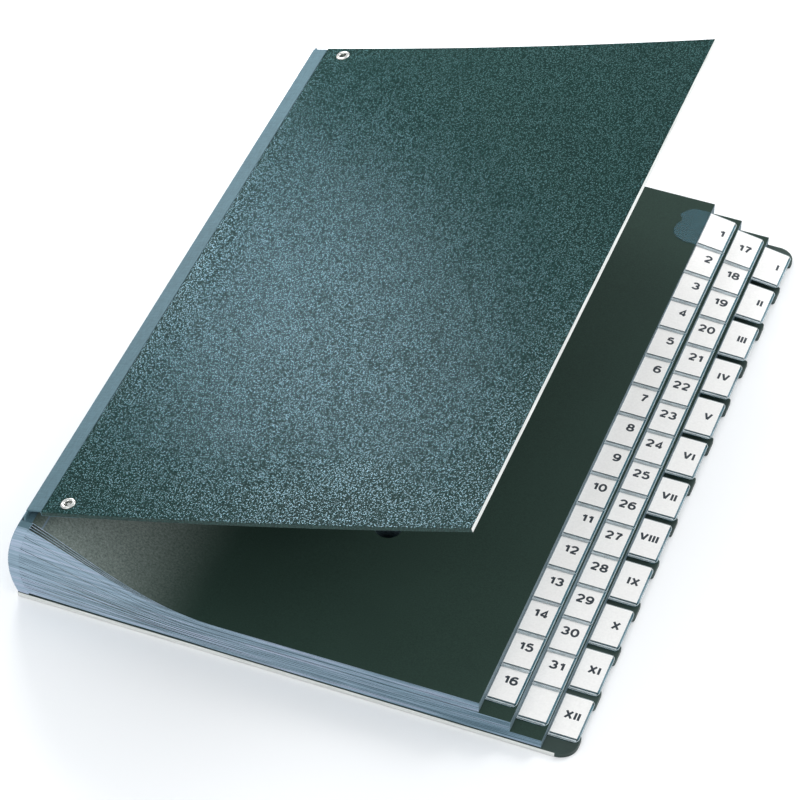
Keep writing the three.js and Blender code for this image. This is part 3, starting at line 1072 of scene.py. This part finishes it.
def slice_along_y(shell):
    """Cuts a shell's faces across at even steps, so that it can follow the droop."""
    mesh = bmesh.new()
    corners = [mesh.verts.new(p) for p in shell.points]
    for indices, paint in zip(shell.faces, shell.paints):
        mesh.faces.new([corners[i] for i in indices]).material_index = paint
    low = min(p.y for p in shell.points)
    high = max(p.y for p in shell.points)
    for k in range(1, int((high - low) / DROOP_STEP) + 1):
        geometry = [*mesh.verts, *mesh.edges, *mesh.faces]
        place = (0, low + k * DROOP_STEP, 0)
        bmesh.ops.bisect_plane(mesh, geom=geometry, plane_co=place, plane_no=(0, 1, 0), dist=1e-7)
    mesh.verts.index_update()
    shell.points = [v.co.copy() for v in mesh.verts]
    shell.faces = [[v.index for v in f.verts] for f in mesh.faces]
    shell.paints = [f.material_index for f in mesh.faces]
    mesh.free()


def tab_outline(edge, end):
    size = sizes()
    outer = edge + size.tab_width
    low = end - size.tab_length
    r = size.tab_corner
    points = [Vector((edge, low))]
    points += arc(Vector((outer - r, low + r)), r, -90, 0, 8)
    points += arc(Vector((outer - r, end - r)), r, 0, 90, 8)
    points.append(Vector((edge, end)))
    return points


def film_sleeve(shell, edge, end, low):
    outline = tab_outline(edge, end)
    loops = [
        (outline, low),
        (outline, low + FILM_SHOULDER),
        (inset(outline, FILM_EASE), low + FILM_RIM),
        (inset(outline, RIM_WIDTH), low + FILM_RIM),
        (inset(outline, RIM_WIDTH + RIM_SLOPE), low + FILM_FLOOR),
    ]
    # The sleeve's side walls take the darkened side film: painted shade
    stacked_loops(shell, loops, [SIDE, SIDE, RIM, RIM], MIDDLE, MIDDLE)
    size = sizes()
    start = end - size.tab_length
    levels = (low + LABEL_LOW, low + LABEL_HIGH)
    near = edge + LABEL_INSET + size.label_width + MARGIN_GAP
    far = edge + size.tab_width - RIM_WIDTH - MARGIN_END
    slab(shell, (near, far), (start + size.tab_corner, end - size.tab_corner), levels, MARGIN)
    weld = (start + WELD_START, start + WELD_START + WELD_WIDTH)
    slab(shell, (edge + LABEL_INSET, far - WELD_START), weld, levels, RIM)


def film_wing(edge, end, low):
    """The first tab's wing, which lies on the first leaf."""
    outline = [Vector((edge + x * MM, end + y * MM)) for x, y in WING_MARKS]
    loops = [(inset(outline, step * MM), low + height * MM) for step, height in WING_LOOPS]
    wing = Shell()
    # The wing's pillowed rim takes the darkened side film too: painted shade
    stacked_loops(wing, loops, [SIDE, SIDE, SIDE])
    return wing


def label_slab(shell, edge, end, low):
    size = sizes()
    sides = (edge + LABEL_INSET, edge + LABEL_INSET + size.label_width)
    back = end - LABEL_INSET
    front = back - size.label_length
    bottom, top = low + LABEL_LOW, low + LABEL_HIGH
    slab(shell, sides, (front, back), (bottom, top), PAPER)
    # A thin dark strip past the label's lower end, raised a hair: painted shadow of the paper's edge
    slab(shell, sides, (front - SHADOW_STRIP_WIDTH, front), (bottom, top + SHADOW_STRIP_RISE), SHADOW_STRIP)


def ring(across, up, width, height, start, end, steps=14):
    """Part of an oval round a middle, as stroke points. Angles run from the right, upwards."""
    return [
        (across + width * math.cos(math.radians(start + (end - start) * k / steps)),
         up + height * math.sin(math.radians(start + (end - start) * k / steps)))
        for k in range(steps + 1)
    ]


def glyphs():
    """Width and strokes of each sign, where the signs are 1 high between their strokes' middles."""
    return {
        "0": (0.62, [ring(0.31, 0.5, 0.31, 0.5, 0, 360, 24)]),
        "1": (0.30, [[(0.30, 0), (0.30, 1)], [(0.27, 0.97), (0.17, 0.82), (0, 0.74)]]),
        "2": (0.60, [ring(0.30, 0.70, 0.30, 0.30, 165, -35) + [(0.02, 0.02)], [(0, 0), (0.60, 0)]]),
        "3": (0.60, [ring(0.29, 0.74, 0.27, 0.26, 160, -90), ring(0.29, 0.26, 0.31, 0.26, 90, -160)]),
        "4": (0.66, [[(0.47, 0), (0.47, 1), (0, 0.30)], [(0, 0.27), (0.66, 0.27)]]),
        "5": (0.60, [[(0.55, 1), (0.12, 1)], [(0.10, 1), (0.05, 0.53)],
                     ring(0.29, 0.32, 0.31, 0.32, 135, -155, 18)]),
        "6": (0.60, [ring(0.30, 0.31, 0.30, 0.31, 0, 360, 22),
                     ring(0.36, 0.50, 0.36, 0.50, 190, 50, 10)]),
        "7": (0.58, [[(0, 1), (0.58, 1)], [(0.57, 0.99), (0.34, 0.60), (0.20, 0)]]),
        "8": (0.60, [ring(0.30, 0.76, 0.25, 0.24, 0, 360, 20),
                     ring(0.30, 0.26, 0.30, 0.26, 0, 360, 22)]),
        "9": (0.60, [ring(0.30, 0.69, 0.30, 0.31, 0, 360, 22),
                     ring(0.24, 0.50, 0.36, 0.50, 10, -130, 10)]),
        "I": (0.0, [[(0, 0), (0, 1)]]),
        "V": (0.66, [[(0, 1), (0.33, 0)], [(0.33, 0), (0.66, 1)]]),
        "X": (0.62, [[(0, 0), (0.62, 1)], [(0, 1), (0.62, 0)]]),
    }


def stroke_quads(points, width):
    """The four-cornered pieces of a stroke of even width, mitred where it turns."""
    centres = [Vector(p) for p in points]
    closed = (centres[0] - centres[-1]).length < 1e-6
    left, right = [], []
    count = len(centres)
    for i, centre in enumerate(centres):
        before = centres[i - 1] if i > 0 else (centres[-2] if closed else None)
        after = centres[i + 1] if i < count - 1 else (centres[1] if closed else None)
        ways = []
        if before is not None:
            ways.append((centre - before).normalized())
        if after is not None:
            ways.append((after - centre).normalized())
        way = sum(ways, Vector((0, 0))).normalized()
        across = Vector((-way.y, way.x))
        grow = 1 / max(0.5, way.dot(ways[0]))
        left.append(centre + across * width / 2 * grow)
        right.append(centre - across * width / 2 * grow)
    return [(right[i], right[i + 1], left[i + 1], left[i]) for i in range(count - 1)]


def number_quads(text, height):
    """The strokes of a number as flat quads, from its right end and its middle height."""
    signs = glyphs()
    pen = STROKE * height
    tall = height - pen
    quads = []
    across = 0.0
    for sign in text:
        width, strokes = signs[sign]
        for stroke in strokes:
            quads += stroke_quads([(across + x * SIGN_WIDTH * tall, y * tall) for x, y in stroke], pen)
        across += width * SIGN_WIDTH * tall + pen + SIGN_GAP * height
    end = across - pen / 2 - SIGN_GAP * height
    shift = Vector((end, tall / 2))
    return [[corner - shift for corner in quad] for quad in quads]


def add_number(shell, text, edge, end, low):
    """Prints a number: each stroke is a thin slab whose top lies just over the label."""
    for layer, quad in enumerate(number_quads(text, sizes().number_height)):
        high = low + INK_HIGH + INK_STAGGER * (layer % INK_LAYERS)
        corners = [Vector((edge + NUMBER_END + p.x, end - NUMBER_DROP + p.y)) for p in quad]
        levels = (low + LABEL_HIGH - INK_ROOT, high)
        stacked_loops(shell, [(corners, z) for z in levels], [INK], INK, INK)


def build_tab(node, text, level, edge, end, films, papers):
    low = flat_height(level, edge - SPINE_X)
    sleeve = Shell()
    film_sleeve(sleeve, edge, end, low)
    slice_along_y(sleeve)
    hang(sleeve, edge)
    if level == LEAF_COUNT - 1:
        sleeve.join(film_wing(edge, end, flat_height(level + 1, edge - SPINE_X)))
    piece = sleeve.build(node.replace("tab", "film"), films, BODY, smooth_angle=35)
    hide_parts(node)
    label = Shell()
    label_slab(label, edge, end, low)
    slice_along_y(label)
    if text:
        add_number(label, text, edge, end, low)
    hang(label, edge)
    label.build(node.replace("tab", "label"), papers, BODY)


class OBJECT_OT_sorter_tabs(bpy.types.Operator):
    """Build the film sleeves and the numbered labels of the 31 days, the blank and 12 months"""

    bl_idname = "object.sorter_tabs"
    bl_label = "Index Tabs"

    def execute(self, context):
        films = film_kinds()
        papers = [label_paper(), printed_ink(), pocket_seam()]
        for day in range(1, 2 * DAY_LEAVES + 1):
            index = (day - 1) % DAY_LEAVES
            upper = day <= DAY_LEAVES
            edge = UPPER_EDGE if upper else LOWER_EDGE
            level = (LEAF_COUNT if upper else UPPER_SET) - 1 - index
            spare = day == 2 * DAY_LEAVES
            node = "spare_tab" if spare else f"day_tab_{day:02d}"
            end = tab_end(index, tab_pitch(DAY_LEAVES))
            build_tab(node, "" if spare else str(day), level, edge, end, films, papers)
        for index, numeral in enumerate(MONTH_NUMERALS):
            end = tab_end(index, tab_pitch(MONTH_LEAVES))
            level = MONTH_LEAVES - 1 - index
            build_tab(f"month_tab_{index + 1:02d}", numeral, level, MONTH_EDGE, end, films, papers)
        return {"FINISHED"}


# Front cover

GRAINED, LINED, TURNED, RAW = range(4)


def cover_angle(s):
    return COVER_OPENING + COVER_BOW * s / COVER_REACH


def bent(s, n):
    """X and Z of a point s along the bowed cover from the hinge axis and n square to it."""
    curvature = COVER_BOW / COVER_REACH
    start, angle = cover_angle(0), cover_angle(s)
    x = HINGE.x + (math.sin(angle) - math.sin(start)) / curvature - n * math.sin(angle)
    z = HINGE.z - (math.cos(angle) - math.cos(start)) / curvature + n * math.cos(angle)
    return x, z


def bent_point(s, y, n):
    x, z = bent(s, n)
    return Vector((x, y, z))


def cover_normal(s):
    angle = cover_angle(s)
    return Vector((-math.sin(angle), 0, math.cos(angle)))


def eyelet_centres():
    for node in ("cover_eyelet_front", "cover_eyelet_back"):
        low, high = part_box(node)
        yield node, bent_point(EYELET_INSET, (low.y + high.y) / 2, 0)


def pierce_for_eyelets(piece):
    axis = cover_normal(EYELET_INSET)
    cut_holes(piece, [(centre, axis, EYELET_HOLE, DRILL_LENGTH) for _, centre in eyelet_centres()])


def bowed_board(shell, start, end):
    """A board that follows the cover's bow."""
    paints = (LINED, TURNED, TURNED, TURNED, GRAINED, TURNED, TURNED, TURNED)
    top, bottom, ease = COVER_TOP, COVER_BOTTOM, COVER_EASE
    front, back = COVER_LOW.y, COVER_HIGH.y
    section = [
        (front + ease, bottom), (back - ease, bottom), (back, bottom + ease), (back, top - ease),
        (back - ease, top), (front + ease, top), (front, top - ease), (front, bottom + ease),
    ]
    places = [start + (end - start) * i / COVER_STEPS for i in range(COVER_STEPS + 1)]
    rings = [shell.add([bent_point(s, y, n) for y, n in section]) for s in places]
    for near, far in zip(rings, rings[1:]):
        for k, paint in enumerate(paints):
            j = (k + 1) % len(paints)
            shell.face([near[j], near[k], far[k], far[j]], paint)
    shell.face(rings[0], TURNED)
    shell.face(rings[-1][::-1], RAW)


class OBJECT_OT_sorter_cover(bpy.types.Operator):
    """Build the bowed front cover: grained outside, lined inside, raw at its fore edge"""

    bl_idname = "object.sorter_cover"
    bl_label = "Front Cover"

    def execute(self, context):
        shell = Shell()
        bowed_board(shell, STRIP_WIDTH + STRIP_GAP, COVER_REACH)
        finish = [grained_covering(), lining_paper(), covering_turn(), raw_card()]
        piece = shell.build("grained_front_cover", finish, COVER_BODY, smooth_angle=30)
        pierce_for_eyelets(piece)
        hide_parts("front_cover")
        return {"FINISHED"}


def strip_section():
    """The strip's section, anticlockwise from the top of its rounded bead: bead, tongue, top."""
    section = arc(Vector((0, 0)), COVER_TOP, 90, 270, 12)
    section += [(STRIP_ROOT * k / STRIP_STEPS, -COVER_TOP) for k in range(1, STRIP_STEPS + 1)]
    section += [(STRIP_ROOT, TONGUE_BOTTOM), (TONGUE_MIDDLE, TONGUE_BOTTOM)]
    section += [(TONGUE_REACH, TONGUE_BOTTOM), (TONGUE_REACH, TONGUE_TOP)]
    section += [(TONGUE_MIDDLE, TONGUE_TOP), (STRIP_WIDTH, TONGUE_TOP)]
    section += [(STRIP_WIDTH, COVER_TOP - STRIP_EASE), (STRIP_WIDTH - STRIP_EASE, COVER_TOP)]
    section += [(STRIP_WIDTH * k / STRIP_STEPS, COVER_TOP) for k in range(STRIP_STEPS - 1, 0, -1)]
    return section


class OBJECT_OT_sorter_hinge_strip(bpy.types.Operator):
    """Build the cloth hinge strip: a rounded bead at the spine and a tongue under the cover"""

    bl_idname = "object.sorter_hinge_strip"
    bl_label = "Hinge Strip"

    def execute(self, context):
        shell = Shell()
        section = strip_section()
        front, back = [
            shell.add([bent_point(s, y, n) for s, n in section]) for y in (STRIP_LOW.y, STRIP_HIGH.y)
        ]
        shell.band(back, front)
        shell.face(front[::-1])
        shell.face(back)
        piece = shell.build(
            "cloth_hinge_strip", [hinge_cloth()], COVER_BODY, smooth_angle=40)
        pierce_for_eyelets(piece)
        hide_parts("hinge_strip")
        return {"FINISHED"}


def eyelet_profile():
    """The rivet's closed section, as (radius, height): spread rim below, rolled rim on top."""
    rim = sizes().eyelet_radius
    seat = COVER_TOP + EYELET_SEAT
    under = TONGUE_BOTTOM - EYELET_SEAT
    high = COVER_TOP + EYELET_CLEARANCE + EYELET_RIM
    deep = TONGUE_BOTTOM - EYELET_CLEARANCE - EYELET_RIM
    crown = (rim + EYELET_BORE) / 2
    half = (rim - EYELET_BORE) / 2
    profile = [(EYELET_BARREL, under), (rim - EYELET_LIP, under), (rim, (under + deep) / 2)]
    profile += [(rim - EYELET_ROLL, deep), (EYELET_BORE + EYELET_EASE, deep)]
    profile += [(EYELET_BORE, deep + EYELET_EASE), (EYELET_BORE, seat)]
    for degrees in range(15, 181, 15):
        angle = math.radians(degrees)
        profile.append((crown - half * math.cos(angle), seat + (high - seat) * math.sin(angle)))
    profile.append((EYELET_BARREL, seat))
    return profile


class OBJECT_OT_sorter_eyelets(bpy.types.Operator):
    """Build the two hollow rivets: a rolled rim outside, and a spread rim under the tongue"""

    bl_idname = "object.sorter_eyelets"
    bl_label = "Eyelets"

    def execute(self, context):
        finish = [nickel_plate()]
        turn = Vector((0, 0, 1)).rotation_difference(cover_normal(EYELET_INSET)).to_matrix()
        for node, centre in eyelet_centres():
            shell = Shell()
            rings = []
            for radius, height in eyelet_profile():
                circle = arc(Vector((0, 0)), radius, 0, 360, EYELET_SIDES)[:-1]
                rings.append(shell.add([centre + turn @ Vector((*p, height)) for p in circle]))
            for lower, upper in zip(rings, rings[1:] + rings[:1]):
                shell.band(upper, lower)
            name = node.replace("cover_eyelet", "nickel_eyelet")
            piece = shell.build(name, finish, COVER_BODY, smooth_angle=50)
            bm = bmesh.new()
            bm.from_mesh(piece.data)
            bmesh.ops.recalc_face_normals(bm, faces=bm.faces)
            bm.to_mesh(piece.data)
            bm.free()
            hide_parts(node)
        return {"FINISHED"}


# Floor, light and camera

FLOOR_REACH = 6.0
FLOOR_DROP = 0.05 * MM
CAMERA_TARGET = Vector((SPINE_X + 110.29 * MM, FRONT_Y + 175.52 * MM, 0))
MIDDLE_OF_STACK = Vector((0, 0, 20 * MM))

# Where the small lamp lights the cover, and how far off it hangs
GLOW = Vector((-62 * MM, -20 * MM, 92 * MM))
GLOW_LAMP = Vector((-0.324, 0.351, 0.216))


def area_lamp(name, place, target, width, height, strength):
    """A soft lamp. Its strength counts at its target, where 1 lights a white sheet to white."""
    light = bpy.data.lights.new(name, "AREA")
    light.shape = "RECTANGLE"
    light.size = width
    light.size_y = height
    reach = target - Vector(place)
    light.energy = strength * math.pi * math.pi * reach.length_squared
    lamp = add_object(name, light)
    lamp.location = place
    lamp.rotation_mode = "QUATERNION"
    lamp.rotation_quaternion = reach.to_track_quat("-Z", "Y")


def floor_finish():
    finish = Finish("pale_floor", 0.9, 0.1)
    paper = finish.ramp(finish.noise(2, 2), (0.3, (0.95, 0.955, 0.96)), (0.7, (0.97,) * 3))
    finish.feed(paper, "Base Color")
    return finish.material


class OBJECT_OT_sorter_stage(bpy.types.Operator):
    """Set out the pale floor, the soft light and the camera"""

    bl_idname = "object.sorter_stage"
    bl_label = "Floor, Light and Camera"

    def execute(self, context):
        stage = context.scene.sorter_stage
        mesh = bpy.data.meshes.new("floor")
        reach = FLOOR_REACH
        corners = [(-reach, -reach, 0), (reach, -reach, 0), (reach, reach, 0), (-reach, reach, 0)]
        mesh.from_pydata(corners, [], [(0, 1, 2, 3)])
        mesh.materials.append(floor_finish())
        floor = add_object("floor", mesh)
        floor.location.z = -FLOOR_DROP

        world = bpy.data.worlds.new("studio")
        world.use_nodes = True
        nodes = world.node_tree.nodes
        links = world.node_tree.links
        backdrop = nodes["Background"]
        backdrop.inputs["Color"].default_value = (1, 1, 1, 1)
        backdrop.inputs["Strength"].default_value = 1.0
        sky = nodes.new("ShaderNodeBackground")
        sky.inputs["Color"].default_value = (0.94, 0.97, 1, 1)
        sky.inputs["Strength"].default_value = stage.sky
        rays = nodes.new("ShaderNodeLightPath")
        choice = nodes.new("ShaderNodeMixShader")
        links.new(rays.outputs["Is Camera Ray"], choice.inputs["Fac"])
        links.new(sky.outputs["Background"], choice.inputs[1])
        links.new(backdrop.outputs["Background"], choice.inputs[2])
        links.new(choice.outputs["Shader"], nodes["World Output"].inputs["Surface"])
        context.scene.world = world

        lamp = stage.lamp
        area_lamp("cover_lamp", GLOW + GLOW_LAMP, GLOW, 0.16, 0.14, 0.52 * lamp)
        area_lamp("back_lamp", (0.62, 0.8, 0.8), MIDDLE_OF_STACK, 0.5, 0.5, 0.30 * lamp)
        area_lamp("front_lamp", (-0.4, -1.9, 1.6), MIDDLE_OF_STACK, 1.6, 1.2, 0.16 * lamp)
        area_lamp("side_lamp", (1.8, 0.3, 0.9), MIDDLE_OF_STACK, 1.2, 0.6, 0.12 * lamp)

        camera_data = bpy.data.cameras.new("camera")
        camera_data.lens = stage.lens
        camera_data.sensor_width = 36
        camera_data.clip_start = 0.05
        camera_data.clip_end = 50
        camera = add_object("camera", camera_data)
        back = Vector((
            math.sin(stage.azimuth) * math.cos(stage.elevation),
            -math.cos(stage.azimuth) * math.cos(stage.elevation),
            math.sin(stage.elevation),
        ))
        right = (-back).cross(Vector((0, 0, 1))).normalized()
        up = right.cross(-back)
        turned_right = right * math.cos(stage.roll) + up * math.sin(stage.roll)
        turned_up = up * math.cos(stage.roll) - right * math.sin(stage.roll)
        turn = Matrix((turned_right, turned_up, back)).transposed().to_4x4()
        camera.matrix_world = Matrix.Translation(CAMERA_TARGET + back * stage.distance) @ turn
        context.scene.camera = camera
        context.scene.view_settings.view_transform = "Standard"
        return {"FINISHED"}


class VIEW3D_PT_sorter(bpy.types.Panel):
    """Sizes, colours and buttons of the desk sorter"""

    bl_idname = "VIEW3D_PT_sorter"
    bl_label = "Desk Sorter"
    bl_space_type = "VIEW_3D"
    bl_region_type = "UI"
    bl_category = "Desk Sorter"

    def draw(self, context):
        scene = context.scene
        for title, group in (
            ("Sizes", scene.sorter_sizes),
            ("Colours", scene.sorter_colours),
            ("View and light", scene.sorter_stage),
        ):
            box = self.layout.box()
            box.label(text=title)
            for name in group.__annotations__:
                box.prop(group, name)
        for operator in OPERATORS:
            self.layout.operator(operator.bl_idname)


OPERATORS = (
    OBJECT_OT_sorter_stage,
    OBJECT_OT_sorter_back_board,
    OBJECT_OT_sorter_gusset,
    OBJECT_OT_sorter_leaves,
    OBJECT_OT_sorter_tabs,
    OBJECT_OT_sorter_cover,
    OBJECT_OT_sorter_hinge_strip,
    OBJECT_OT_sorter_eyelets,
)
CLASSES = (SorterSizes, SorterColours, SorterStage, *OPERATORS, VIEW3D_PT_sorter)


def register():
    for item in CLASSES:
        bpy.utils.register_class(item)
    bpy.types.Scene.sorter_sizes = PointerProperty(type=SorterSizes)
    bpy.types.Scene.sorter_colours = PointerProperty(type=SorterColours)
    bpy.types.Scene.sorter_stage = PointerProperty(type=SorterStage)


def unregister():
    del bpy.types.Scene.sorter_stage
    del bpy.types.Scene.sorter_colours
    del bpy.types.Scene.sorter_sizes
    for item in reversed(CLASSES):
        bpy.utils.unregister_class(item)


def main():
    register()
    bpy.ops.object.sorter_stage()
    bpy.ops.object.sorter_back_board()
    bpy.ops.object.sorter_gusset()
    bpy.ops.object.sorter_leaves()
    bpy.ops.object.sorter_tabs()
    bpy.ops.object.sorter_cover()
    bpy.ops.object.sorter_hinge_strip()
    bpy.ops.object.sorter_eyelets()


if __name__ == "__main__":
    main()
